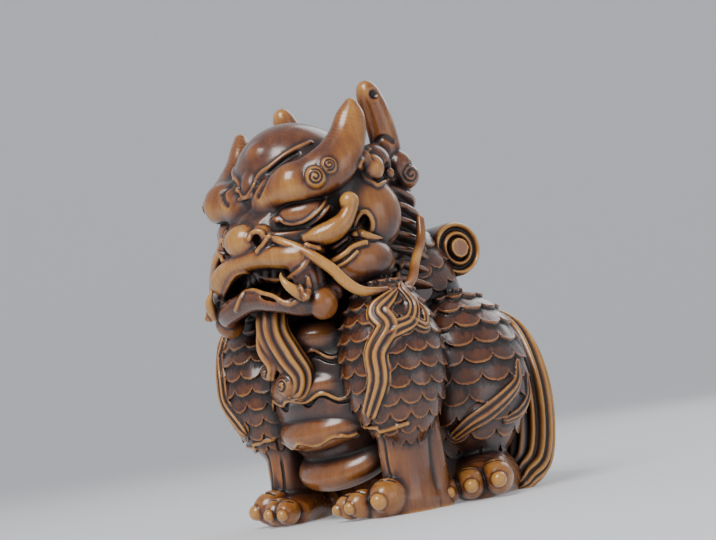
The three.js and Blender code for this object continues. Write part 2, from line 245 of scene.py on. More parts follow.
class Block:
    """One piece of the carving: its distance field over a grid whose nodes are whole steps from the middle, and a
    tone for every node, from 0 for stained wood to 1 for wood that handling has polished to gold."""

    def __init__(self, low, high, step):
        self.step = step
        self.first = np.floor(np.array(low) / step).astype(int)
        last = np.ceil(np.array(high) / step).astype(int)
        self.field = np.full(last - self.first + 1, 9, np.float32)
        self.tone = np.full(self.field.shape, 0.3, np.float32)

    def _work(self, form, round_off, both, tone, sign):
        low = np.floor((form.low - round_off - 1.3) / self.step).astype(int)
        high = np.ceil((form.high + round_off + 1.3) / self.step).astype(int)
        low = np.maximum(low, self.first) if not both else low
        lines = [np.arange(a, b + 1) * self.step for a, b in zip(low, high)]
        distance = form.distance(*lines, round_off + 1.5)
        self._blend(distance, low, round_off, tone, sign)
        if both:
            self._blend(distance[::-1], np.array([-high[0], low[1], low[2]]), round_off, tone, sign)

    def _blend(self, distance, low, round_off, tone, sign):
        start = low - self.first
        lead = np.maximum(-start, 0)
        here = tuple(slice(max(s, 0), max(s + n, 0)) for s, n in zip(start, distance.shape))
        old = self.field[here] * sign
        if 0 in old.shape:
            return
        mine = distance[tuple(slice(a, a + n) for a, n in zip(lead, old.shape))]
        self.field[here] = rounded_min(old, mine, round_off) * sign
        if tone is not None:
            near = np.clip(0.5 + (old - mine) * 2, 0, 1)
            self.tone[here] += (tone - self.tone[here]) * near

    def add(self, form, round_off=0.6, both=False, tone=None):
        self._work(form, round_off, both, tone, 1)

    # A cut given a low tone paints the wood round it darker: stain in the cut and painted shade.
    def cut(self, form, round_off=0.2, both=False, tone=None):
        self._work(form, round_off, both, tone, -1)

    def slope(self, at):
        """How fast the field changes from node to node, at points in grid units."""
        return np.stack([sampled(self.field, at + d) - sampled(self.field, at - d) for d in np.eye(3) * 0.5], 1)

    def draped(self, points, lift=0.0):
        """Moves points along the field's slope onto the surface. Returns them lifted outwards, and the normals."""
        at = np.array(points, float) / self.step - self.first
        for _ in range(10):
            slope = self.slope(at)
            move = slope * (sampled(self.field, at) / np.maximum((slope ** 2).sum(1), 1e-6))[:, None]
            at = at - np.clip(move, -3, 3)
        slope = self.slope(at)
        normal = slope / np.maximum(np.linalg.norm(slope, axis=1, keepdims=True), 1e-6)
        return (at + self.first) * self.step + normal * lift, normal

    def seen(self, pixels):
        """Points of the surface that the photograph shows at pixels. A line of sight leaves the camera along
        -back + right * (u - middle) / f + up * (middle - v) / f, with f the pixels per millimetre times the
        distance. The point is the first along it inside the wood, or the nearest to the wood if it passes by."""
        right, up, back = view_axes()
        uv = np.array(pixels, float)[:, :2]
        scale = PIXELS_PER_MM * VIEW_DISTANCE
        sight = (uv[:, :1] - FRAME_WIDTH / 2) / scale * right + (FRAME_HEIGHT / 2 - uv[:, 1:]) / scale * up - back
        camera = np.array(VIEW_TARGET) + back * VIEW_DISTANCE
        reach = VIEW_DISTANCE + np.arange(-36, 36, 0.1)
        points = camera + sight[:, None, :] * reach[None, :, None]
        value = sampled(self.field, points.reshape(-1, 3) / self.step - self.first).reshape(len(uv), -1)
        inside = value < 0
        first = np.where(inside.any(1), inside.argmax(1), value.argmin(1))
        return points[np.arange(len(uv)), first]

    def traced(self, pixels, lift=0.0, flutes=0, depth=0.0, steps=4):
        """A lock along the surface as the photograph shows it: pixels [u, v, half width, half depth]."""
        path = catmull_rom([list(p) + [p[2]] if len(p) == 3 else list(p) for p in pixels], steps)
        points, normal = self.draped(self.seen(path[:, :2]), lift)
        return Lock(np.hstack([points, path[:, 2:4]]), out=normal, flutes=flutes, depth=depth, steps=1)

    def tint(self, points, radius, tone, both=True):
        """Draws the tone towards another near points, less with distance."""
        for point in np.array(points, float):
            for flip in ((1, -1) if both else (1,)):
                middle = (point * (flip, 1, 1)) / self.step - self.first
                reach = radius * 1.8 / self.step
                low = np.maximum(np.floor(middle - reach).astype(int), 0)
                high = np.minimum(np.ceil(middle + reach).astype(int) + 1, self.field.shape)
                if (low >= high).any():
                    continue
                part = tuple(slice(a, b) for a, b in zip(low, high))
                lines = [(np.arange(a, b) - m) * self.step / radius for a, b, m in zip(low, high, middle)]
                far = lines[0][:, None, None] ** 2 + lines[1][None, :, None] ** 2 + lines[2][None, None, :] ** 2
                self.tone[part] += (tone - self.tone[part]) * np.exp(-1.5 * far).astype(np.float32)

    def band(self, stations, lift=0.0, flutes=0, depth=0.0, steps=4):
        """A lock that lies on the surface and turns with it: its stations are draped first."""
        path = catmull_rom([list(s) + [s[3]] if len(s) == 4 else list(s) for s in stations], steps)
        points, normal = self.draped(path[:, :3], lift)
        return Lock(np.hstack([points, path[:, 3:5]]), out=normal, flutes=flutes, depth=depth, steps=1)

    def floor(self, height=0.0):
        """Rubs the soles down to a plane."""
        z = (np.arange(self.field.shape[2]) + self.first[2]) * self.step
        self.field = np.maximum(self.field, (height - z).astype(np.float32)[None, None, :])


def sampled(field, at):
    """Field values at points in grid units, read between the eight nearest nodes."""
    at = np.clip(at, 0, np.array(field.shape) - 1.001)
    i = at.astype(int)
    f = (at - i).astype(np.float32)
    total = 0
    for corner in range(8):
        o = np.array([corner & 1, corner >> 1 & 1, corner >> 2])
        share = np.where(o, f, 1 - f).prod(1)
        total = total + share * field[i[:, 0] + o[0], i[:, 1] + o[1], i[:, 2] + o[2]]
    return total


def surface(block):
    """Skins a block. Each cell that the surface crosses gets one vertex at the mean of its edge crossings, which is
    then moved along the field's slope onto the surface, and each grid edge that the surface crosses gets a face
    between the four cells round it. Returns points in millimetres, and faces."""
    field = block.field
    inside = field < 0
    count = np.zeros(np.array(field.shape) - 1, np.uint8)
    for corner in range(8):
        o = [corner & 1, corner >> 1 & 1, corner >> 2]
        count += inside[tuple(slice(a, a + n) for a, n in zip(o, count.shape))]
    cells = np.argwhere((count > 0) & (count < 8))
    number = np.full(count.shape, -1, np.int32)
    number[tuple(cells.T)] = np.arange(len(cells))
    corners = {}
    for corner in range(8):
        o = (corner & 1, corner >> 1 & 1, corner >> 2)
        corners[o] = field[cells[:, 0] + o[0], cells[:, 1] + o[1], cells[:, 2] + o[2]]
    total = np.zeros((len(cells), 3), np.float32)
    crossings = np.zeros(len(cells), np.float32)
    for o, a in corners.items():
        for axis in range(3):
            if o[axis]:
                continue
            to = list(o)
            to[axis] = 1
            b = corners[tuple(to)]
            crossed = (a < 0) != (b < 0)
            share = np.where(crossed, a / np.where(crossed, a - b, 1), 0)
            for k in range(3):
                total[:, k] += crossed * (share if k == axis else o[k])
            crossings += crossed
    at = cells + total / crossings[:, None]
    slope = block.slope(at)
    square = (slope ** 2).sum(1, keepdims=True)
    at = at - np.clip(slope * (sampled(field, at)[:, None] / np.maximum(square, 1e-6)), -0.4, 0.4)
    faces = []
    for axis in range(3):
        a = inside[tuple(slice(0, -1) if k == axis else slice(None) for k in range(3))]
        b = inside[tuple(slice(1, None) if k == axis else slice(None) for k in range(3))]
        edge = np.argwhere(a != b)
        u, v = (axis + 1) % 3, (axis + 2) % 3
        top = np.array(field.shape)
        edge = edge[(edge[:, u] > 0) & (edge[:, v] > 0) & (edge[:, u] < top[u] - 1) & (edge[:, v] < top[v] - 1)]
        step_u, step_v = np.eye(3, dtype=int)[u], np.eye(3, dtype=int)[v]
        ring = [edge - step_u - step_v, edge - step_v, edge, edge - step_u]
        quad = np.stack([number[tuple(r.T)] for r in ring], 1)
        outward = a[tuple(edge.T)]
        quad[~outward] = quad[~outward][:, ::-1]
        faces.append(quad)
    return (at + block.first) * block.step, np.concatenate(faces)


def softened(values, passes):
    """Each pass weighs every node with its two neighbours 1 2 1, along each axis in turn."""
    out = values.copy()
    for _ in range(passes):
        for axis in range(3):
            line = np.moveaxis(out, axis, 0)
            line[1:-1] = (line[:-2] + line[2:]) * 0.25 + line[1:-1] * 0.5
    return out


# Scales

def scale_rows(u, v, rise, tip=0.5):
    """Height of overlapping scales. u counts scales along a row and v counts rows downwards. A scale of row j hangs
    from line j to a round free edge, j + 1 + tip * sqrt(1 - (2u)^2) at u from its middle, and covers the root of
    the scales below it. It rises towards its edge, bulges along its middle and has a fine lip on the edge."""
    row = np.floor(v)
    share = v - row

    def hang(j):
        side = u - 0.5 * (j % 2)
        side = 2 * (side - np.round(side))
        return side, tip * np.sqrt(np.maximum(1 - side * side, 0))

    upper_side, upper_edge = hang(row - 1)
    lower_side, lower_edge = hang(row)
    covered = share < upper_edge
    side = np.where(covered, upper_side, lower_side)
    length = 1 + np.where(covered, upper_edge, lower_edge)
    along = np.where(covered, share + 1, share) / length
    to_edge = (1 - along) * length
    lip = np.exp(-(to_edge / 0.09) ** 2)
    body = 0.15 + 0.85 * along ** 1.5
    crown = 1 - 0.35 * side * side
    return rise * (body * crown + 0.12 * lip - 0.35 * np.exp(-(share / 0.05) ** 2) * ~covered)


# Carving of the head. Tones: stained wood is about 0.2, scales 0.3, plain skin 0.5, and worn wood 0.8 to 1.
# Lines that only lie on the surface are pixels of the photograph, cast on to it.
# Cuts take tones of 0 to 0.2, which darken grooves, holes and the mouth: stain in the cuts and painted shade.

BROW_SEAM = [(256, 187), (257, 180), (262, 173), (270, 167), (277, 161), (285, 155), (296, 149), (310, 143)]
BROW_GROOVE = [(258, 196), (262, 187), (266, 180), (271, 172), (278, 165), (286, 159), (296, 153)]
BROW_EDGE = [(263, 203), (272, 199), (280, 192), (289, 187), (300, 188), (311, 190)]
DROP_RIM = [(240, 199.5), (246, 198), (251, 192), (255, 184)]
EYE_LIDS = [[(277, 216), (284, 222), (292, 224), (302, 222), (311, 217), (319, 210), (324, 203), (326, 197)],
            [(276, 218), (284, 226), (292, 229), (303, 228), (314, 222), (322, 215), (328, 207)]]
UPPER_RIM = [(223, 304), (224, 296), (228, 285), (233, 277), (238, 273), (245, 271.5), (253, 273), (260, 275.5), (267, 278),
             (274, 279.5), (282, 279), (290, 277), (297, 272), (303, 267), (308, 261)]
LOWER_RIM = [(236, 310), (240, 300), (243, 294), (248, 291), (255, 290.5), (262, 293), (270, 295), (275, 297),
             (280, 300), (285, 303), (291, 304), (297, 301), (301, 297)]
RIBBON = [(306, 247), (315, 249.5), (326, 250), (335, 248.5), (343, 243), (350, 235), (354, 226), (357, 218), (361, 213),
          (366, 212.5), (370, 217), (372, 223), (371, 229), (368, 233)]
RIBBON_BELOW = [(327, 264), (338, 259), (346, 254), (351, 249.5), (358, 246), (365, 244)]
CHEEK_LINE = [(334, 268), (343, 264), (350, 259), (357, 252)]
LEAF = [(353, 238, 0.5), (359, 236.5, 0.85), (366, 238.5, 0.75), (373, 239.5, 0.5), (381, 240, 0.15)]
COLLAR = [(348, 281), (357, 285), (368, 286), (381, 283.5), (392, 279), (399, 270), (401, 258)]
EAR_RIM = [(369, 150, 0.35), (362, 158, 0.4), (358.5, 166, 0.42), (360, 173, 0.42), (365, 179, 0.42), (372, 183, 0.4),
           (377, 186, 0.4), (384, 182, 0.35), (392, 179, 0.3)]


def on(form, longitude, latitude, half_width, half_depth, lift=0.3):
    return [*form.skin(longitude, latitude, lift), half_width, half_depth]


def spiral(center, out, radius, turns=1.7, lead=0.0, hand=1):
    """Stations of a flat spiral that winds in evenly from radius to a sixth of it, in the plane square to out."""
    out = np.array(out, float) / np.linalg.norm(out)
    side = np.cross((0, 0, 1), out)
    side /= np.linalg.norm(side)
    rise = np.cross(out, side)
    t = np.linspace(0, 1, int(16 * turns))
    angle = math.radians(lead) + hand * t * turns * math.tau
    reach = radius * (1 - t * 0.84)
    flat = np.cos(angle)[:, None] * side + np.sin(angle)[:, None] * rise
    return np.array(center) + flat * reach[:, None]


def thin(points, radius):
    """Stations of a thread of even radius."""
    points = np.array(points, float)
    return np.hstack([points[:, :3], np.full((len(points), 2), radius)])


def line_of(pixels, radius):
    """Pixel stations of a thread of even radius."""
    return [(u, v, radius) for u, v in pixels]


def curl(block, center, out, radius, wire=0.34, both=True, tone=0.8, hand=1, lead=0.0, turns=1.7):
    """A flat disc with a spiral groove cut into it, so that a rounded thread is left winding to its middle."""
    out = np.array(out, float) / np.linalg.norm(out)
    block.add(Ball(center, (radius * 1.08,) * 3), 0.2, both, tone)
    path = spiral(np.array(center) + out * radius, out, radius * 0.9, turns, lead, hand)
    block.cut(block.band(thin(path, wire * 0.62), wire * 0.1, steps=1), 0.08, both, 0.1)


def skull(block):
    block.add(Ball(*SKULL), 0.0, tone=0.4)
    block.add(Ball((0, -6, 47), (11.2, 10.6, 12.5)), 2.0, tone=0.3)
    block.add(Ball((0, -17.5, 57), (9.6, 9.6, 8.9)), 2.0, tone=0.36)
    block.add(Ball((0, -22.6, 46), (11, 8.6, 6.4)), 1.6, tone=0.35)
    block.add(Ball((0, -20.5, 37.6), (9.6, 8.8, 4.8)), 1.4, tone=0.2)
    block.add(Ball((11.6, -12.4, 48.4), (4.6, 5.6, 6.4)), 1.4, True, 0.72)
    block.add(Ball((11.6, -16.4, 40.6), (5, 6.4, 4.6)), 0.5, True, 0.5)


def brows(block):
    brow = [[2.6, -27.4, 52.4, 1.7, 1.5], [5, -27, 53.4, 2.6, 2.2], [8.4, -25.4, 54.3, 3.2, 2.7],
            [11.4, -22.8, 55.1, 3.7, 2.9], [13, -19.6, 57.2, 3.7, 2.7], [13.4, -17, 60.6, 3.1, 2.4],
            [13.6, -15.7, 63.8, 2.5, 2], [13.8, -15.3, 66, 1.2, 1.2]]
    facing = [(0.2, -0.95, 0.2), (0.4, -0.88, 0.2), (0.58, -0.78, 0.2), (0.75, -0.62, 0.2), (0.85, -0.5, 0.15),
              (0.85, -0.5, 0.1), (0.8, -0.6, 0.1), (0.8, -0.6, 0.1)]
    block.add(Lock(brow, out=facing), 1.5, True, 0.42)
    block.add(Ball((8.6, -26, 53.9), (3.2, 3, 3.4)), 1.3, True, 0.6)
    block.cut(Ball((9.4, -27.4, 48.9), (6.8, 3.2, 2.3), (0, 0, 40)), 0.35, True, 0.1)
    block.add(Ball((9, -24.2, 49.3), (4.6, 2.6, 2.4), (0, 0, 42)), 0.15, True, 0.6)


def brow_lines(block):
    block.cut(block.traced(line_of(BROW_GROOVE, 0.62), 0.25), 0.35, True, 0.15)
    block.add(block.traced(line_of(BROW_SEAM, 0.4), 0.02), 0.4, True, 0.5)
    block.add(Ball((0, -26, 54.9), (2.2, 2.4, 3.4)), 0.5, tone=0.3)
    block.add(block.traced(line_of(DROP_RIM, 0.3), 0.05), 0.3, True, 0.5)
    block.add(Ball((0.6, -24.4, 60.2), (2.4, 2.2, 2.4)), 0.6, tone=0.45)
    block.tint(block.seen(BROW_EDGE), 2.0, 0.95)
    block.tint(block.seen([(352, 110), (350, 120), (358, 128), (346, 133), (360, 140), (352, 148), (340, 160)]), 2.2, 0.9)
    for center, radius, lead, hand in (((315, 177), 1.75, 100, -1), ((328.5, 165.5), 1.4, 250, 1)):
        point, normal = block.draped(block.seen([center]))
        curl(block, point[0] - normal[0] * radius * 0.45, normal[0], radius, lead=lead, hand=hand, tone=0.85)


def eyes(block):
    for lid, tone in zip(EYE_LIDS, (0.5, 0.4)):
        block.add(block.traced(line_of(lid, 0.3), 0.1), 0.25, True, tone)


def nose(block):
    block.add(Ball((0, -27, 49.6), (2.8, 2.6, 2)), 0.7, tone=0.25)
    block.add(Ball((4.2, -26.8, 48.4), (2.2, 2.2, 1.6)), 0.9, True, 0.3)
    block.add(Ball((0, -30.2, 46.5), (3.4, 2.9, 2.8)), 0.4, tone=0.95)
    block.add(Ball((3.8, -29, 46.7), (1.9, 2.2, 1.9)), 0.35, True, 0.9)
    block.cut(Ball((4.1, -31, 45.9), (0.75, 1.7, 1.25), (0, 0, 20)), 0.3, True, 0.0)
    wing = [(249, 239), (252, 234), (257, 231.5), (262, 233), (265, 239), (264, 246), (259, 251)]
    block.add(block.traced(line_of(wing, 0.42), 0.05), 0.3, True, 0.7)
    fold = [(233, 260), (243, 257), (251, 254), (260, 252.5), (267, 247), (270, 241)]
    block.add(block.traced(line_of(fold, 0.36), 0.1), 0.35, True, 0.5)


def mouth(block):
    lip = [[-9.4, -27.4, 39.9, 1.5, 1.4], [-7.6, -29.6, 40.8, 1.9, 1.8], [-4.4, -30.4, 42.3, 1.8, 1.9], [0, -30.2, 43.2, 1.5, 1.9],
           [3.6, -29.6, 43.3, 1.6, 1.9], [7, -28.8, 42.9, 1.9, 2], [9.6, -27.6, 42.4, 2, 1.9], [11.2, -25.6, 42.2, 1.3, 1.4]]
    block.add(Lock(lip, across=(0, 0, 1)), 0.7, False, 0.9)
    lower = [[-11.4, -22.4, 36.6, 1.5, 1.5], [-9.6, -27, 35.4, 1.8, 1.7], [-6.4, -29.2, 36, 1.9, 1.8], [0, -29.6, 37, 1.8, 1.8],
             [6.4, -29.2, 35.9, 1.9, 1.8], [9.8, -27.4, 34.8, 1.8, 1.7], [11.8, -23.4, 36, 1.5, 1.5]]
    block.add(Lock(lower, across=(0, 0, 1)), 1.2, False, 0.15)
    block.add(Ball((9.6, -26.4, 38.6), (2.6, 3, 4)), 1.0, True, 0.2)
    upper_rim, lower_rim = (block.seen(catmull_rom(line, 4)) for line in (UPPER_RIM, LOWER_RIM))
    share = np.linspace(0, 1, 16)
    gape = []
    for t in share[1:-1]:
        a, b = upper_rim[int(t * 0.78 * (len(upper_rim) - 1))], lower_rim[int(t * (len(lower_rim) - 1))]
        gape.append([*((a + b) / 2 + (0, 1.2, 0)), max(0.3, abs(a[2] - b[2]) / 2 - 0.3), 5])
    block.cut(Lock(gape, across=(0, 0, 1), steps=3), 0.4, False, 0.0)
    for i, x in enumerate(np.linspace(-6.4, 6.4, 9)):
        arch = 0.045 * x * x
        block.add(Ball((x, -27.6 + arch, 41 - arch), (0.75, 0.8, 1.5)), 0.1, False, 0.12)
    block.add(Lock(thin(upper_rim, 0.36), across=(0, 0.2, 1), steps=1), 0.4, False, 0.5)
    block.add(Lock(thin(lower_rim, 0.36), across=(0, 0.2, 1), steps=1), 0.4, False, 0.5)
    fang = [[10.9, -29, 36, 0.95, 0.95], [10.2, -30.2, 37.1, 0.9, 0.85], [9.5, -31, 38.2, 0.62, 0.62], [8.7, -31.1, 39.4, 0.32, 0.32],
            [8.5, -30.9, 40.2, 0.1, 0.1]]
    block.add(Lock(fang), 0.15, True, 1.0)
    for corner in ([(299.5, 287, 0.3), (303, 294, 0.34), (304, 299, 0.3)], [(308, 278, 0.3), (308.5, 288, 0.6), (305.5, 297, 0.5)]):
        block.add(block.traced(corner, 0.2), 0.3, True, 0.35)
    block.add(Ball((11.4, -25.6, 34.6), (2.2, 2.6, 2.6)), 0.35, True, 0.6)


def cheeks(block):
    facing = [(0.6, -0.78, 0)] + [(0.75, -0.64, 0)] * 5
    pad = [[10.6, -26, 44.9, 1.1, 1.2], [12, -24.6, 45.2, 1.7, 1.9], [13.4, -23, 45.8, 1.8, 2.1], [14.4, -21.4, 47, 1.5, 1.9],
           [15.1, -20.5, 48.7, 1.3, 1.6], [15.2, -20.3, 50, 1.6, 1.7]]
    block.add(Lock(pad, out=facing), 0.35, True, 0.9)
    block.cut(block.traced([(u, v + 3.6, 0.5, 0.7) for u, v in RIBBON[1:7]], 0.1), 0.2, True, 0.0)
    block.add(block.traced(line_of(RIBBON, 0.46), 0.3), 0.25, True, 0.6)
    block.cut(block.traced([(362, 229, 0.7, 1.6), (363.5, 223, 0.85, 1.6), (365.5, 219, 0.5, 1.4)], 0.1), 0.15, True, 0.0)
    block.add(block.traced(line_of(RIBBON_BELOW, 0.46), 0.3), 0.25, True, 0.5)
    block.add(block.traced(line_of(CHEEK_LINE, 0.28), 0.1), 0.25, True, 0.5)
    block.add(block.traced(LEAF, 0.4), 0.2, True, 0.9)
    block.cut(block.traced(line_of([(u, v - 0.5) for u, v in COLLAR], 0.3), 0.1), 0.2, True, 0.0)
    block.add(block.traced(line_of([(u, v + 3) for u, v in COLLAR], 0.5), 0.2), 0.3, True, 0.35)
    block.tint(block.seen([(345, 262), (360, 255), (375, 250)]), 3, 0.75)
    block.tint(block.seen([(385, 268), (397, 258), (392, 232), (402, 228)]), 3, 0.15)


def ears(block):
    block.add(Ball((12.2, -10.6, 56.6), (2.6, 3.4, 3.4)), 0.8, True, 0.4)
    block.add(Ball((14, -12.9, 55.6), (2.1, 2.1, 2.3)), 0.25, True, 0.85)
    block.cut(Ball((14.8, -9.3, 55), (1.4, 1.5, 1.7)), 0.25, True, 0.0)
    block.add(Ball((13.4, -8.7, 54.8), (1.2, 1, 1)), 0.2, True, 0.35)
    block.add(block.traced(EAR_RIM, 0.1), 0.25, True, 0.55)


def horns(block):
    horn = [[9.6, -4.4, 56, 2.7, 2.7], [10.2, -5, 61, 2.45, 2.45], [10.4, -6.2, 65.5, 2.35, 2.35], [10.5, -7.4, 68.4, 2.05, 2.05],
            [10.5, -7.8, 69.4, 1.7, 1.7]]
    block.add(Lock(horn), 0.8, True, 0.5)
    block.tint([(10.5, -9, 69.5), (12.4, -4.6, 64)], 2, 0.95)
    pit = block.seen([(374, 94)])[0]
    block.cut(Ball(pit, (0.75, 0.75, 0.75)), 0.5, True, 0.1)
    block.cut(block.traced(line_of([(376, 142), (380, 138), (386, 137), (393, 141)], 0.4), 0.1), 0.4, True, 0.1)
    block.add(Ball((11.8, -4, 56.4), (2.1, 2.2, 2.5)), 0.4, True, 0.3)
    curl(block, (11.6, -2.6, 54.6), (0.85, -0.3, 0), 2.1, tone=0.3, lead=60)


def nape(block):
    """Plates that step down the nape: tilted discs through the neck, each proud of the one below."""
    for i in range(9):
        t = i / 8
        center, radii = (0, -5.6 + 2 * t, 57.6 - 21 * t), (11.9 + 0.8 * t, 10.3 + 1.7 * t, 2.3)
        block.add(Ball(center, radii, (-16, 0, 0)), 0.4, tone=0.3)


def whiskers(block):
    path = [[4.4, -29.9, 46.6, 0.45, 0.45], [6.4, -29.4, 45.9, 0.62, 0.62], [8.6, -29, 44.7, 0.74, 0.74],
            [10.4, -28, 43.5, 0.82, 0.82], [12.4, -26.9, 41.8, 0.88, 0.88], [14.4, -25.5, 39.6, 0.9, 0.9],
            [15.4, -24.6, 37.8, 0.92, 0.92], [16.2, -23.5, 36.4, 0.9, 0.9], [17, -22.2, 35.5, 0.8, 0.8],
            [17.6, -20.4, 35.2, 0.74, 0.74], [18, -18, 35.1, 0.74, 0.74], [18, -15.2, 35.1, 0.76, 0.76],
            [17.6, -12.4, 35.7, 0.8, 0.8], [16.8, -10, 37.2, 0.8, 0.8], [16, -8.4, 39, 0.8, 0.8],
            [15, -6.4, 40.8, 0.8, 0.8], [14, -4.2, 42.6, 0.8, 0.8], [13.4, -2.9, 44.6, 0.8, 0.8],
            [13, -2.2, 47, 0.7, 0.7]]
    block.add(Lock(path, across=(1, 0, 0.6), steps=3), 0.2, True, 0.9)
    block.tint([(17.8, -14, 35.4), (16.6, -10, 38), (14.4, -5, 43), (13.2, -2.4, 47), (18, -18, 35)], 3, 0.4)
    root = [(258, 252), (263, 246), (266, 240), (270, 237)]
    block.add(block.traced(line_of(root, 0.4), 0.2), 0.3, True, 0.6)


def carve_head(step):
    block = Block((-21.5, -38.5, 31), (21.5, 9, 72.5), step)
    skull(block)
    nape(block)
    brows(block)
    brow_lines(block)
    eyes(block)
    ears(block)
    horns(block)
    nose(block)
    mouth(block)
    cheeks(block)
    whiskers(block)
    return block


def carve_beard(step):
    block = Block((-6.5, -31, 17), (8, -17, 40), step)
    lock = [[0, -24, 38, 2.2, 1.6], [0, -26.2, 35, 2.9, 1.9], [0.4, -27, 31.4, 3, 2], [1.6, -26, 27.6, 2.9, 2.2],
            [2.9, -24.8, 24.4, 2.3, 2.1], [2.6, -24.7, 22, 1.5, 1.8], [1.2, -25, 21.2, 1, 1.5]]
    block.add(Lock(lock, flutes=9, depth=0.11, steps=8), 0.2, tone=0.75)
    near = [[-1.4, -27.6, 33, 0.9, 0.9], [-1.6, -28, 29, 1, 1], [-0.4, -27.6, 26.4, 0.9, 1], [-0.8, -27.6, 24.6, 0.7, 0.9]]
    block.add(Lock(near, flutes=4, depth=0.1), 0.25, tone=0.75)
    for center, radius, lead, hand in (((-1.7, -27, 25.4), 1.35, 0, 1), ((1.2, -26, 22.9), 1.75, 20, 1)):
        block.add(Ball(center, (radius * 1.15,) * 3), 0.3, tone=0.75)
        face = np.array(center) + (0, -radius, 0)
        path = spiral(face, (0.25, -1, 0), radius * 0.86, lead=lead, hand=hand)
        block.cut(block.band(thin(path, 0.24), 0.08, steps=1), 0.1, tone=0.15)
    return block


# Carving of the body

def scaled(center, radii, turn, around, down, rise, spread=0.12):
    """A ball cut all over with scales. Rows are counted down the ball's own axis, even in length along its
    outline, and scales are counted round it and grow narrower towards its poles, but less than a ball would."""

    def relief(longitude, latitude):
        v = down * (0.5 - (latitude + spread * np.sin(2 * latitude)) / math.pi)
        u = longitude / math.tau * around * np.cos(latitude * 0.72)
        return scale_rows(u, v, rise)

    return Ball(center, radii, turn, relief, rise)


def chest(block):
    block.add(Ball((0, -5, 40), (11.6, 11, 13), (14, 0, 0)), 0.0, tone=0.3)
    block.add(Ball(*CHEST), 2.0, tone=0.35)
    block.add(Ball((0, -6, 24), (12.5, 13, 14.5)), 1.5, tone=0.3)
    for z, y, half, tilt in ((29.5, -16.2, 4.4, 0), (22.6, -16.6, 4.3, 6), (16, -15.9, 4.3, 14), (10, -13.4, 4, 26)):
        block.add(Ball((0, y, z), (9.8, 8.9, half), (tilt, 0, 0)), 0.35, tone=0.62)
    for z, y in ((26.2, -24.6), (19.4, -24.8), (12.9, -23.6)):
        wave = [[x, y + 0.045 * x * x, z + 0.75 * math.cos(x * 1.05 + z)] for x in np.linspace(-9, 9, 19)]
        block.cut(block.band(thin(wave, 0.3), -0.05, steps=2), 0.15, tone=0.1)
        block.add(block.band(thin(np.array(wave) + (0, 0, 0.62), 0.33), 0.12, steps=2), 0.2, tone=0.75)


def shoulders(block):
    block.add(scaled(*SHOULDER, (0, 0, 0), 14, 13.5, 0.75), 0.45, True, 0.3)
    form = Ball(*SHOULDER)
    main = [on(form, -18, 52, 0.5, 0.5), on(form, -36, 44, 1.3, 0.9), on(form, -52, 34, 1.9, 1.1), on(form, -44, 22, 1.9, 1.1),
            on(form, -60, 6, 1.9, 1.1), on(form, -62, -12, 1.8, 1.1), on(form, -84, -34, 1.5, 1)]
    block.add(Lock(main, out=np.array([form.outward(np.array([s[:3]]))[0] for s in main]), flutes=8, depth=0.16), 0.2, True, 0.75)
    branch = [on(form, -50, 16, 1.2, 0.9), on(form, -34, 20, 1.5, 1), on(form, -16, 24, 1.3, 1), on(form, -4, 36, 1.1, 0.9),
              on(form, -8, 52, 0.8, 0.8), on(form, 4, 60, 0.4, 0.5)]
    block.add(Lock(branch, out=np.array([form.outward(np.array([s[:3]]))[0] for s in branch]), flutes=8, depth=0.16), 0.25, True, 0.65)
    hook = [on(form, -14, 25, 1.1, 0.9), on(form, 2, 20, 0.9, 0.9), on(form, 10, 30, 0.7, 0.8), on(form, 4, 40, 0.5, 0.6)]
    block.add(Lock(hook, out=np.array([form.outward(np.array([s[:3]]))[0] for s in hook]), flutes=8, depth=0.12), 0.25, True, 0.65)


def paw(block, toes, heel):
    block.add(Lock(heel), 0.8, True, 0.55)
    for (x, y, z), size, yaw in toes:
        block.add(Ball((x, y, z), (size * 0.95, size * 1.3, size), (0, 0, yaw)), 0.3, True, 0.75)
        way = np.array([math.sin(math.radians(yaw)), -math.cos(math.radians(yaw)), 0])
        side = np.array([way[1], -way[0], 0])
        tip = np.array([x, y, z - size * 0.12]) + way * size * 1.12
        block.add(Ball(tip, (size * 0.46, size * 0.5, size * 0.46), (0, 0, yaw)), 0.12, True, 0.95)
        top = np.array([x, y, z + size * 0.75]) + way * size * 0.25
        crease = [top + side * size * 0.6, top + way * size * 0.25 + (0, 0, 0.2), top - side * size * 0.6]
        block.cut(block.band(thin(crease, 0.24), 0), 0.15, True, 0.2)


def forelegs(block):
    shaft = [[LEG_X + 0.6, -13.5, 20, 4.6, 5.6], [LEG_X + 0.5, -14.2, 12, 3.7, 5], [LEG_X + 0.5, -14.4, 6, 3.4, 4.8],
             [LEG_X + 0.5, -14.2, -1, 3.8, 5]]
    block.add(Lock(shaft), 0.8, True, 0.6)
    fringe = [[LEG_X + 2.4, -10.8, 16.4, 2, 2.4], [LEG_X + 2.1, -10.3, 8, 2, 2.5], [LEG_X + 1.8, -10, -1, 2.4, 2.8]]
    block.add(Lock(fringe), 0.15, True, 0.55)
    cuff = [[LEG_X - 1.4, -19.2, 15.2], [LEG_X + 1.6, -19.6, 15.4], [LEG_X + 4.2, -17, 15.8]]
    block.add(block.band([[*p, 0.4, 0.4] for p in cuff], 0.1), 0.3, True, 0.7)
    for x, y in ((LEG_X - 1.6, -19), (LEG_X + 1.2, -19.4)):
        block.cut(block.band(thin([[x, y, 14.6], [x - 0.3, y, 9], [x, y, 5.6]], 0.22), 0), 0.2, True, 0.2)
    toes = [((LEG_X - 5.4, -22.2, 2.3), 2.1, -24), ((LEG_X - 3, -21.9, 2.5), 2.3, -8), ((LEG_X + 0.6, -19.6, 3.1), 3, 16)]
    heel = [[LEG_X + 0.8, -10, 1.4, 3, 2.4], [LEG_X - 0.2, -15, 2.2, 4.3, 3.2], [LEG_X - 2.2, -19.5, 1.8, 4.3, 2.6]]
    paw(block, toes, heel)


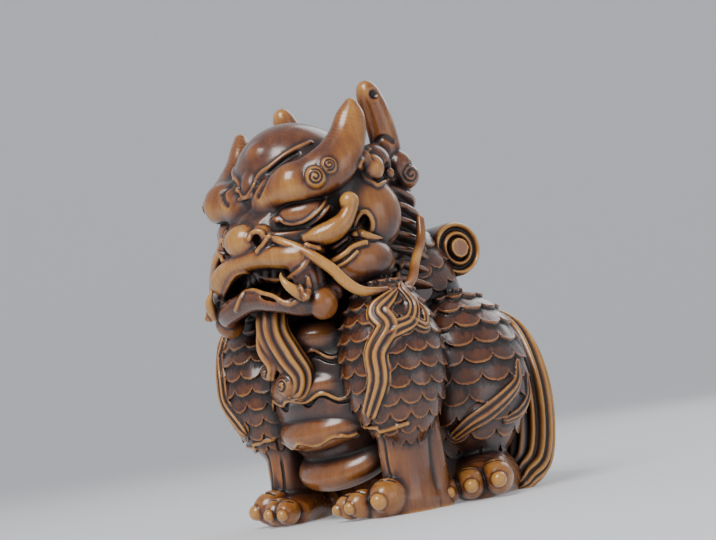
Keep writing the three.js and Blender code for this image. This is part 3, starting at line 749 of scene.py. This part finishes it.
def carve_forequarters(step):
    block = Block((-24.5, -28.5, -1), (24.5, 9, 46), step)
    chest(block)
    shoulders(block)
    forelegs(block)
    block.floor()
    return block


def carve_hindquarters(step):
    block = Block((-24.5, -11.5, -1), (24.5, 27, 46), step)
    block.add(scaled((0, 1, 36.5), (12, 11.6, 13), (22, 0, 0), 18, 10, 0.6), 0.0, tone=0.3)
    block.add(scaled((0, 10, 22), (12.6, 12.6, 16), (34, 0, 0), 18, 12, 0.7), 0.5, tone=0.3)
    block.add(Ball(*RUMP), 2.0, tone=0.35)
    block.add(scaled(*HAUNCH, (0, 0, 0), 13, 12, 0.9), 0.3, True, 0.3)
    form = Ball(*HAUNCH)
    sweep = [on(form, -66, -40, 1.1, 0.9), on(form, -46, -32, 1.6, 1.1), on(form, -26, -25, 1.8, 1.2), on(form, -6, -16, 1.6, 1.2),
             on(form, 8, -8, 1.2, 1), on(form, 14, 4, 0.6, 0.7)]
    block.add(Lock(sweep, out=np.array([form.outward(np.array([s[:3]]))[0] for s in sweep]), flutes=8, depth=0.14), 0.25, True, 0.5)
    curlback = [on(form, -4, -34, 0.9, 0.8), on(form, 14, -30, 1.4, 1), on(form, 30, -20, 1.2, 1), on(form, 34, -6, 0.6, 0.6)]
    block.add(Lock(curlback, out=np.array([form.outward(np.array([s[:3]]))[0] for s in curlback]), flutes=8, depth=0.14), 0.25, True, 0.5)
    toes = [((14.8, -7.2, 2.3), 2.2, 45), ((17.2, -4.4, 2.9), 2.6, 45), ((19.8, -0.6, 3.3), 2.9, 45)]
    heel = [[10.5, 10, 2.2, 4.6, 3.6], [13.3, 4, 3.8, 5, 4.8], [16.4, -1.6, 2.8, 4.6, 3.4]]
    paw(block, toes, heel)
    block.floor()
    return block


def carve_tail(step):
    block = Block((-4, 6.5, -1), (19.5, 26, 35), step)
    lock = [[1, 19.4, 30.6, 2.6, 1.8], [3.4, 20, 28.8, 4, 2.6], [8, 20.4, 25.5, 4.2, 2.8], [11.5, 19.2, 19, 4.2, 2.8],
            [13, 17.8, 12, 4.1, 2.8], [13.6, 15.2, 5, 3.9, 2.7], [13.4, 11.5, 1.8, 3, 2.2]]
    block.add(Lock(lock, across=(1, 0.9, 0), flutes=13, depth=0.12, steps=8), 0.2, tone=0.8)
    block.floor()
    return block


def carve_scroll(step):
    near, far = np.array(SCROLL_NEAR), np.array(SCROLL_FAR)
    axis = (near - far) / np.linalg.norm(near - far)
    block = Block(np.minimum(near, far) - 6.5, np.maximum(near, far) + 6.5, step)
    block.add(Roll(near, far, SCROLL_RADIUS), 0.0, tone=0.7)
    return block


class Roll:
    """A rolled scroll. Round its axis it is a cylinder; each end steps in as a rounded sheet edge, a sunk ring and
    a knob, and a spiral seam winds in over the face."""

    def __init__(self, near, far, radius):
        self.near, self.far, self.radius = near, far, radius
        self.low = np.minimum(near, far) - radius
        self.high = np.maximum(near, far) + radius

    def distance(self, xs, ys, zs, margin):
        way = (self.near - self.far) / np.linalg.norm(self.near - self.far)
        half = np.linalg.norm(self.near - self.far) / 2
        middle = (self.near + self.far) / 2
        dx = (xs - middle[0]).astype(np.float32)[:, None, None]
        dy = (ys - middle[1]).astype(np.float32)[None, :, None]
        dz = (zs - middle[2]).astype(np.float32)[None, None, :]
        along = dx * np.float32(way[0]) + dy * np.float32(way[1]) + dz * np.float32(way[2])
        across = np.sqrt(np.maximum(dx * dx + dy * dy + dz * dz - along * along, 0))
        ring = across / self.radius
        face = half - 0.5 + 0.45 * np.cos((ring - 0.55) * 19) * (ring > 0.36) + 0.9 * (ring <= 0.36)
        side = across - self.radius
        end = np.abs(along) - face
        return -rounded_min(-side, -end, 0.5)


# Meshes

BLOCKS = {}
CARVERS = {
    "head": carve_head,
    "beard": carve_beard,
    "forequarters": carve_forequarters,
    "hindquarters": carve_hindquarters,
    "tail": carve_tail,
    "scroll": carve_scroll,
}
CLOSE_GRID = 0.45


def carve_all(step):
    """Carves every block at once, each on a thread of its own, and skins it."""

    def one(name):
        block = CARVERS[name](step)
        return name, block, surface(block)

    with ThreadPoolExecutor(4) as workers:
        for name, block, skin in workers.map(one, CARVERS):
            BLOCKS[name] = (block, skin)


def crowding(share, points, lift, normals):
    """How much wood is near points lifted off the surface, read from a softened map of where wood is."""
    grid, first = share
    return sampled(grid, (points + normals * lift) / CLOSE_GRID - first)


def wood_maps(step):
    """Where there is wood, as a share of each node of a coarse grid over all the blocks, softened a little and a
    lot. A block's own grid holds every coarse node, since the coarse step is a whole number of fine ones."""
    every = int(round(CLOSE_GRID / step))
    low = np.array([-26, -42, -4]) // CLOSE_GRID
    first = low.astype(int)
    count = (np.array([52, 72, 80]) / CLOSE_GRID).astype(int)
    union = np.full(count, 9, np.float32)
    for block, _ in BLOCKS.values():
        lead = (-block.first) % every
        part = block.field[lead[0]::every, lead[1]::every, lead[2]::every]
        start = (block.first + lead) // every - first
        here = tuple(slice(s, s + n) for s, n in zip(start, part.shape))
        union[here] = np.minimum(union[here], part)
    wood = np.clip(0.5 - union / CLOSE_GRID, 0, 1)
    near = softened(wood, 8)
    return (near, first), (softened(near, 50), first)


def curvature(block, points, reach):
    """How sharply the surface swells (positive) or sinks (negative) at points: the mean of the field at six
    points around, less the field at the point, over the square of their distance."""
    at = points / block.step - block.first
    r = reach / block.step
    total = sum(sampled(block.field, at + d) + sampled(block.field, at - d) for d in np.eye(3) * r)
    return (total - 6 * sampled(block.field, at)) / reach ** 2


def mesh_of(name, points, faces, share):
    """A Blender mesh of a skinned block, thinned to share of its faces, with its place set back into the frame."""
    mesh = bpy.data.meshes.new(name)
    flat = points.astype(np.float64)
    mesh.vertices.add(len(flat))
    mesh.vertices.foreach_set("co", flat.ravel())
    mesh.loops.add(faces.size)
    mesh.loops.foreach_set("vertex_index", faces.astype(np.int32).ravel())
    mesh.polygons.add(len(faces))
    mesh.polygons.foreach_set("loop_start", np.arange(0, faces.size, 4, dtype=np.int32))
    mesh.update(calc_edges=True)
    mesh.validate()
    obj = bpy.data.objects.new(name, mesh)
    bpy.context.collection.objects.link(obj)
    if share < 1:
        thinner = obj.modifiers.new("Thin", "DECIMATE")
        thinner.ratio = share
        thinner.use_collapse_triangulate = True
        done = bpy.data.meshes.new_from_object(obj.evaluated_get(bpy.context.evaluated_depsgraph_get()))
        obj.modifiers.clear()
        obj.data = done
        bpy.data.meshes.remove(mesh)
        done.name = name
    return obj


def place_piece(name, target, maps, material):
    """Makes one block's object, measures its hollows and worn edges, and hangs it in the frame."""
    block, (points, faces) = BLOCKS[name]
    obj = mesh_of(name, points, faces, min(1, target / (2 * len(faces))))
    mesh = obj.data
    points = np.empty(len(mesh.vertices) * 3, np.float32)
    mesh.vertices.foreach_get("co", points)
    points = points.reshape(-1, 3).astype(float)
    normals = np.empty(len(mesh.vertices) * 3, np.float32)
    mesh.vertices.foreach_get("normal", normals)
    normals = normals.reshape(-1, 3)
    near = crowding(maps[0], points, 0.7, normals) - 0.27
    wide = crowding(maps[1], points, 1.4, normals) - 0.3
    fine = curvature(block, points, 0.35)
    # hollow: how shut in by nearby wood and how sunk the surface is. The wood's colour darkens with it as stain and
    # painted shade.
    hollow = np.clip(near * 2.2, 0, 1) * 0.6 + np.clip(wide * 2.6, 0, 1) * 0.7 + np.clip(-fine * 0.28, 0, 0.7)
    worn = np.clip(fine * 0.32, 0, 1) * 0.6 + np.clip(-near * 3.2, 0, 1) * 0.7
    tone = sampled(block.tone, points / block.step - block.first)
    for label, values in (("hollow", hollow), ("worn", worn), ("tone", tone)):
        layer = mesh.attributes.new(label, "FLOAT", "POINT")
        layer.data.foreach_set("value", np.clip(values, 0, 1).astype(np.float32))
    set_back = (points + (0, SET_BACK, 0)) * MM
    mesh.vertices.foreach_set("co", set_back.ravel())
    mesh.polygons.foreach_set("use_smooth", np.ones(len(mesh.polygons), bool))
    mesh.update()
    mesh.materials.clear()
    mesh.materials.append(material)
    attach(obj, "root")
    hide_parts("qilin")
    return obj


# Materials

class Wire:
    """A socket of a node tree, so that shader sums can be written as sums."""

    def __init__(self, tree, socket):
        self.tree, self.socket = tree, socket

    def _math(self, operation, *values):
        return node(self.tree, "ShaderNodeMath", {"operation": operation}, dict(enumerate(values)))

    def __add__(self, other):
        return self._math("ADD", self, other)

    def __sub__(self, other):
        return self._math("SUBTRACT", self, other)

    def __rsub__(self, other):
        return self._math("SUBTRACT", other, self)

    def __mul__(self, other):
        return self._math("MULTIPLY", self, other)

    def limited(self):
        return node(self.tree, "ShaderNodeClamp", {}, {"Value": self})

    __radd__ = __add__
    __rmul__ = __mul__


def node(tree, kind, settings, inputs, output=0):
    """Adds a node, sets its settings, then its sockets from values or wires, and gives one output as a wire."""
    made = tree.nodes.new(kind)
    for key, value in settings.items():
        if key == "stops":
            ramp = made.color_ramp
            for i, (place, color) in enumerate(value):
                stop = ramp.elements[i] if i < len(ramp.elements) else ramp.elements.new(place)
                stop.position, stop.color = place, (*color, 1)
        else:
            setattr(made, key, value)
    for key, value in inputs.items():
        socket = made.inputs[key]
        if isinstance(value, Wire):
            tree.links.new(value.socket, socket)
        else:
            socket.default_value = value
    return Wire(tree, made.outputs[output])


def attribute(tree, label):
    return node(tree, "ShaderNodeAttribute", {"attribute_name": label}, {}, "Fac")


def mixed(tree, share, a, b, blend="MIX"):
    made = tree.nodes.new("ShaderNodeMix")
    made.data_type = "RGBA"
    made.blend_type = blend
    for key, value in ((0, share), (6, a), (7, b)):
        if isinstance(value, Wire):
            tree.links.new(value.socket, made.inputs[key])
        else:
            made.inputs[key].default_value = value if key == 0 else (*value, 1)
    return Wire(tree, made.outputs[2])


def waxed_boxwood(finish):
    """Old boxwood: stain lies in the hollows, hands have worn the raised parts through to gold, fine pores run
    along the grain, and a coat of wax over it all is duller where the stain is."""
    material = bpy.data.materials.new("waxed_boxwood")
    material.use_nodes = True
    tree = material.node_tree
    shader = tree.nodes["Principled BSDF"]
    place = node(tree, "ShaderNodeTexCoord", {}, {}, "Object")
    along = node(tree, "ShaderNodeMapping", {}, {"Vector": place, "Rotation": (0.12, 0.2, 0), "Scale": (1, 1, 0.16)})
    pores = node(tree, "ShaderNodeTexNoise", {}, {"Vector": along, "Scale": 4200, "Detail": 3, "Roughness": 0.6})
    streaks = node(tree, "ShaderNodeTexNoise", {}, {"Vector": along, "Scale": 900, "Detail": 4, "Roughness": 0.6})
    cloud = node(tree, "ShaderNodeTexNoise", {}, {"Vector": place, "Scale": 130, "Detail": 4, "Roughness": 0.55})
    hollow, worn, tone = (attribute(tree, label) for label in ("hollow", "worn", "tone"))
    # Hollows pull the ramp down towards the stain: stain and painted shade.
    gold = tone * 0.72 + worn * 0.6 - hollow * 0.75 - 0.08 + (cloud - 0.5) * 0.5 + (streaks - 0.5) * 0.42
    wood = node(tree, "ShaderNodeValToRGB", {"stops": [
        (0.05, finish.stain), (0.32, finish.skin), (0.62, finish.warm), (0.95, finish.gold)]}, {"Fac": gold.limited()})
    # Mix of the dark hollow colour in the hollows: stain and painted shade.
    stain_and_shade = (hollow * 1.15 + (cloud - 0.5) * 0.25).limited()
    wood = mixed(tree, stain_and_shade, wood, finish.hollow_stain_and_shade)
    pored = mixed(tree, (pores * 1.6 - 0.55).limited(), wood, (0.82, 0.74, 0.7), "MULTIPLY")
    tree.links.new(pored.socket, shader.inputs["Base Color"])
    rough = 0.27 + hollow * 0.25 + (streaks - 0.5) * 0.12
    tree.links.new(rough.socket, shader.inputs["Roughness"])
    shader.inputs["IOR"].default_value = 1.5
    shader.inputs["Coat Roughness"].default_value = finish.coat_roughness
    coat = (0.75 - hollow * 0.7).limited()
    tree.links.new(coat.socket, shader.inputs["Coat Weight"])
    relief = pores * 0.5 + streaks * 0.5
    bump = node(tree, "ShaderNodeBump", {}, {"Strength": 0.22, "Distance": 0.00012, "Height": relief}, "Normal")
    tree.links.new(bump.socket, shader.inputs["Normal"])
    return material


def pale_paper(color):
    material = bpy.data.materials.new("pale_backdrop")
    material.use_nodes = True
    tree = material.node_tree
    shader = tree.nodes["Principled BSDF"]
    place = node(tree, "ShaderNodeTexCoord", {}, {}, "Object")
    fleck = node(tree, "ShaderNodeTexNoise", {}, {"Vector": place, "Scale": 600, "Detail": 2})
    tree.links.new(mixed(tree, fleck * 0.06, color, (0.5, 0.5, 0.52)).socket, shader.inputs["Base Color"])
    shader.inputs["Roughness"].default_value = 0.85
    shader.inputs["Emission Color"].default_value = (*color, 1)
    shader.inputs["Emission Strength"].default_value = 0.3
    return material


# Stage

def backdrop(color):
    """A round floor that sweeps up into a wall: a profile of radius and height turned about the vertical."""
    turn = np.linspace(0, math.pi / 2, 13)
    radius = np.concatenate([[0.0, 0.5], 0.9 + 0.5 * np.sin(turn), [1.4]])
    height = np.concatenate([[0.0, 0.0], 0.5 * (1 - np.cos(turn)), [1.6]])
    around = np.linspace(0, math.tau, 97)[:-1]
    ring = np.stack([radius[1:, None] * np.cos(around), radius[1:, None] * np.sin(around),
                     np.broadcast_to(height[1:, None], (len(radius) - 1, 96))], 2).reshape(-1, 3)
    i, j = np.meshgrid(np.arange(len(radius) - 2), np.arange(96), indexing="ij")
    a, b = i * 96 + j, i * 96 + (j + 1) % 96
    quads = np.stack([a, b, b + 96, a + 96], 2).reshape(-1, 4)
    rim = [[96 * (len(radius) - 1), k, (k + 1) % 96] for k in range(96)]
    mesh = bpy.data.meshes.new("backdrop")
    mesh.from_pydata(np.vstack([ring, [0, 0, 0]]).tolist(), [], quads[:, ::-1].tolist() + rim)
    mesh.polygons.foreach_set("use_smooth", np.ones(len(mesh.polygons), bool))
    mesh.materials.append(pale_paper(color))
    obj = bpy.data.objects.new("backdrop", mesh)
    bpy.context.collection.objects.link(obj)


def soft_box(name, place, aim, width, height, power, color=(1, 1, 1)):
    light = bpy.data.lights.new(name, "AREA")
    light.shape = "RECTANGLE"
    light.size, light.size_y = width, height
    light.energy, light.color = power, color
    obj = bpy.data.objects.new(name, light)
    bpy.context.collection.objects.link(obj)
    obj.location = place
    obj.rotation_euler = (Vector(aim) - Vector(place)).to_track_quat("-Z", "Y").to_euler()


def photo_camera():
    """Stands VIEW_DISTANCE from the target and looks at it as the photograph does."""
    right, up, back = view_axes()
    data = bpy.data.cameras.new("photo_view")
    data.sensor_width = 36
    data.lens = PIXELS_PER_MM * VIEW_DISTANCE / FRAME_WIDTH * 36
    data.clip_start, data.clip_end = 0.01, 10
    camera = bpy.data.objects.new("photo_view", data)
    bpy.context.collection.objects.link(camera)
    where = (np.array(VIEW_TARGET) + (0, SET_BACK, 0) + back * VIEW_DISTANCE) * MM
    matrix = Matrix.Identity(4)
    for k, column in enumerate((right, up, back, where)):
        for row in range(3):
            matrix[row][k] = column[row]
    camera.matrix_world = matrix
    bpy.context.scene.camera = camera
    return right, up, back


# Settings, operators and panel

class QilinFinish(bpy.types.PropertyGroup):
    """Colours and gloss of the waxed wood"""
    # Colour mixed into the hollows: stain settled in the cuts and painted shade.
    hollow_stain_and_shade: bpy.props.FloatVectorProperty(
        name="Hollow stain", description="Stain left in the deepest cuts", subtype="COLOR", default=(0.012, 0.0055, 0.005))
    stain: bpy.props.FloatVectorProperty(
        name="Stain", description="Purple brown of the scales and of untouched wood", subtype="COLOR",
        default=(0.04, 0.014, 0.009))
    skin: bpy.props.FloatVectorProperty(
        name="Skin", description="Red brown of plain carved skin", subtype="COLOR", default=(0.135, 0.038, 0.011))
    warm: bpy.props.FloatVectorProperty(
        name="Warm", description="Orange brown where hands have begun to polish", subtype="COLOR",
        default=(0.3, 0.105, 0.02))
    gold: bpy.props.FloatVectorProperty(
        name="Gold", description="Ochre of the most worn places", subtype="COLOR", default=(0.56, 0.27, 0.055))
    coat_roughness: bpy.props.FloatProperty(
        name="Wax roughness", description="How dull the wax is", min=0, max=1, default=0.16)


class QilinSizes(bpy.types.PropertyGroup):
    """Sizes of the carving"""
    grid: bpy.props.FloatProperty(
        name="Grid step", description="Fineness of the carving, which must divide 0.45 mm", unit="LENGTH",
        default=0.15 * MM)
    quick_grid: bpy.props.FloatProperty(
        name="Quick grid step", description="Coarser step for a first look", unit="LENGTH", default=0.225 * MM)
    faces: bpy.props.IntProperty(
        name="Triangles", description="The most triangles in one piece", default=190000)


class QilinStage(bpy.types.PropertyGroup):
    """Floor and light"""
    paper: bpy.props.FloatVectorProperty(
        name="Backdrop", description="Colour of the floor and wall", subtype="COLOR", default=(0.62, 0.63, 0.65))
    key: bpy.props.FloatProperty(name="Key light", description="Strength of the large light", subtype="POWER", default=1.9)
    fill: bpy.props.FloatProperty(name="Fill light", description="Strength of the light opposite", subtype="POWER", default=0.4)
    sky: bpy.props.FloatProperty(name="Room light", description="Strength of the light all round", default=0.4)


class QILIN_OT_stage(bpy.types.Operator):
    """Makes the camera, the floor and the studio light"""
    bl_idname = "qilin.stage"
    bl_label = "Set the stage"

    def execute(self, context):
        stage = context.scene.qilin_stage
        right, up, back = photo_camera()
        middle = np.array(VIEW_TARGET) + (0, SET_BACK, 0)
        backdrop(stage.paper)
        world = bpy.data.worlds.new("room")
        world.use_nodes = True
        world.node_tree.nodes["Background"].inputs["Color"].default_value = (0.9, 0.95, 1, 1)
        world.node_tree.nodes["Background"].inputs["Strength"].default_value = stage.sky
        context.scene.world = world
        aim = (middle * MM).tolist()
        key = (middle + back * 260 + up * 330 - right * 190) * MM
        fill = (middle + back * 300 + up * 60 + right * 380) * MM
        rear = (middle - back * 300 + up * 260 + right * 160) * MM
        soft_box("key_light", key.tolist(), aim, 0.2, 0.26, stage.key, (1, 0.98, 0.96))
        soft_box("fill_light", fill.tolist(), aim, 0.3, 0.4, stage.fill, (0.93, 0.96, 1))
        soft_box("rear_light", rear.tolist(), aim, 0.3, 0.3, stage.fill * 1.3, (0.95, 0.97, 1))
        return {"FINISHED"}


class QILIN_OT_carve(bpy.types.Operator):
    """Works out the distance fields of all the pieces"""
    bl_idname = "qilin.carve"
    bl_label = "Carve the block"

    def execute(self, context):
        sizes = context.scene.qilin_sizes
        step = round(sizes.grid / MM, 4)
        carve_all(step)
        BLOCKS["maps"] = wood_maps(step)
        BLOCKS["wood"] = waxed_boxwood(context.scene.qilin_finish)
        return {"FINISHED"}


def piece_operator(name, label, note):
    def execute(self, context):
        place_piece(name, context.scene.qilin_sizes.faces, BLOCKS["maps"], BLOCKS["wood"])
        return {"FINISHED"}

    return type("QILIN_OT_" + name, (bpy.types.Operator,), {
        "__doc__": note, "bl_idname": "qilin." + name, "bl_label": label, "execute": execute})


PIECES = (
    piece_operator("head", "Head", "Skull, brows, eyes, snout, cheeks, ears, horns, whiskers and nape"),
    piece_operator("beard", "Beard", "The fluted lock under the chin with its curled ends"),
    piece_operator("forequarters", "Forequarters", "Neck, chest plates, scaled shoulders and forelegs"),
    piece_operator("hindquarters", "Hindquarters", "Scaled back, haunches and hind paws"),
    piece_operator("tail", "Tail", "The fluted tail along the left haunch"),
    piece_operator("scroll", "Scroll", "The rolled scroll across the back"),
)


class QILIN_PT_panel(bpy.types.Panel):
    """Lists the steps of the carving"""
    bl_idname = "QILIN_PT_panel"
    bl_label = "Carved qilin"
    bl_space_type = "VIEW_3D"
    bl_region_type = "UI"
    bl_category = "Qilin"

    def draw(self, context):
        scene = context.scene
        for group in (scene.qilin_sizes, scene.qilin_finish, scene.qilin_stage):
            for key in group.__annotations__:
                self.layout.prop(group, key)
        for operator in (QILIN_OT_stage, QILIN_OT_carve, *PIECES):
            self.layout.operator(operator.bl_idname)


GROUPS = {"qilin_sizes": QilinSizes, "qilin_finish": QilinFinish, "qilin_stage": QilinStage}
CLASSES = (*GROUPS.values(), QILIN_OT_stage, QILIN_OT_carve, *PIECES, QILIN_PT_panel)


def register():
    for kind in CLASSES:
        bpy.utils.register_class(kind)
    for key, group in GROUPS.items():
        setattr(bpy.types.Scene, key, bpy.props.PointerProperty(type=group))


def unregister():
    for key in GROUPS:
        delattr(bpy.types.Scene, key)
    for kind in reversed(CLASSES):
        bpy.utils.unregister_class(kind)


def main():
    register()
    bpy.ops.qilin.stage()
    bpy.ops.qilin.carve()
    for operator in PIECES:
        getattr(bpy.ops.qilin, operator.bl_idname.split(".")[1])()
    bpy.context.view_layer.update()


if __name__ == "__main__":
    main()
